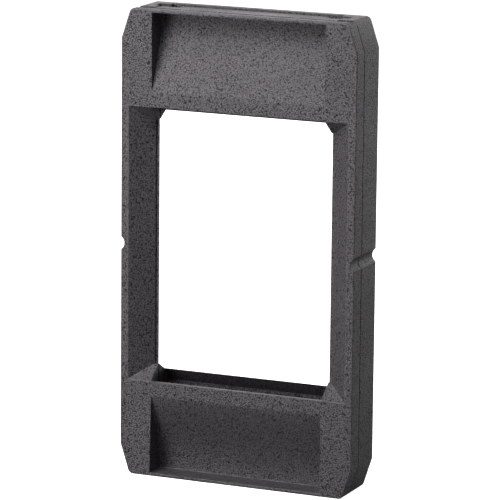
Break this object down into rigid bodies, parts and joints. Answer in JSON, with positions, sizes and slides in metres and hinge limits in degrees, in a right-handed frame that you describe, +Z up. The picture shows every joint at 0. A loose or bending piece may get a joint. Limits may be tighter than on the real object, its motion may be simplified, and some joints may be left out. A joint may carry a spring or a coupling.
{
  "type": "negative carrier",
  "caption": "Two-part black roll film carrier with a bevelled window, curved film path, slots in the short edges and a cover held by disc magnets.",
  "frame": {"origin": "middle of the short edge that the carrier stands on, at mid depth", "axes": "+Z up along the film's travel, -Y out of the front face with the ramp recesses, +X across the film to the right"},
  "size_m": [0.08, 0.0184, 0.1507],
  "materials": {
    "cover_plastic": "fine-grained matte black moulding",
    "frame_plastic": "fine-grained matte black moulding",
    "magnet_nickel": "nickel-plated magnet"
  },
  "bodies": {
    "rear_half": {"rear_frame": "frame_plastic", "frame_magnet_bottom_left": "magnet_nickel", "frame_magnet_bottom_right": "magnet_nickel", "frame_magnet_middle_left": "magnet_nickel", "frame_magnet_middle_right": "magnet_nickel", "frame_magnet_top_left": "magnet_nickel", "frame_magnet_top_right": "magnet_nickel"},
    "front_half": {"front_cover": "cover_plastic", "cover_magnet_bottom_left": "magnet_nickel", "cover_magnet_bottom_right": "magnet_nickel", "cover_magnet_middle_left": "magnet_nickel", "cover_magnet_middle_right": "magnet_nickel", "cover_magnet_top_left": "magnet_nickel", "cover_magnet_top_right": "magnet_nickel"}
  },
  "joints": [
    {"name": "cover_pull_off", "type": "slide", "parent": "rear_half", "child": "front_half", "axis": [0, -1, 0], "range_m": [0, 0.03]}
  ]
}
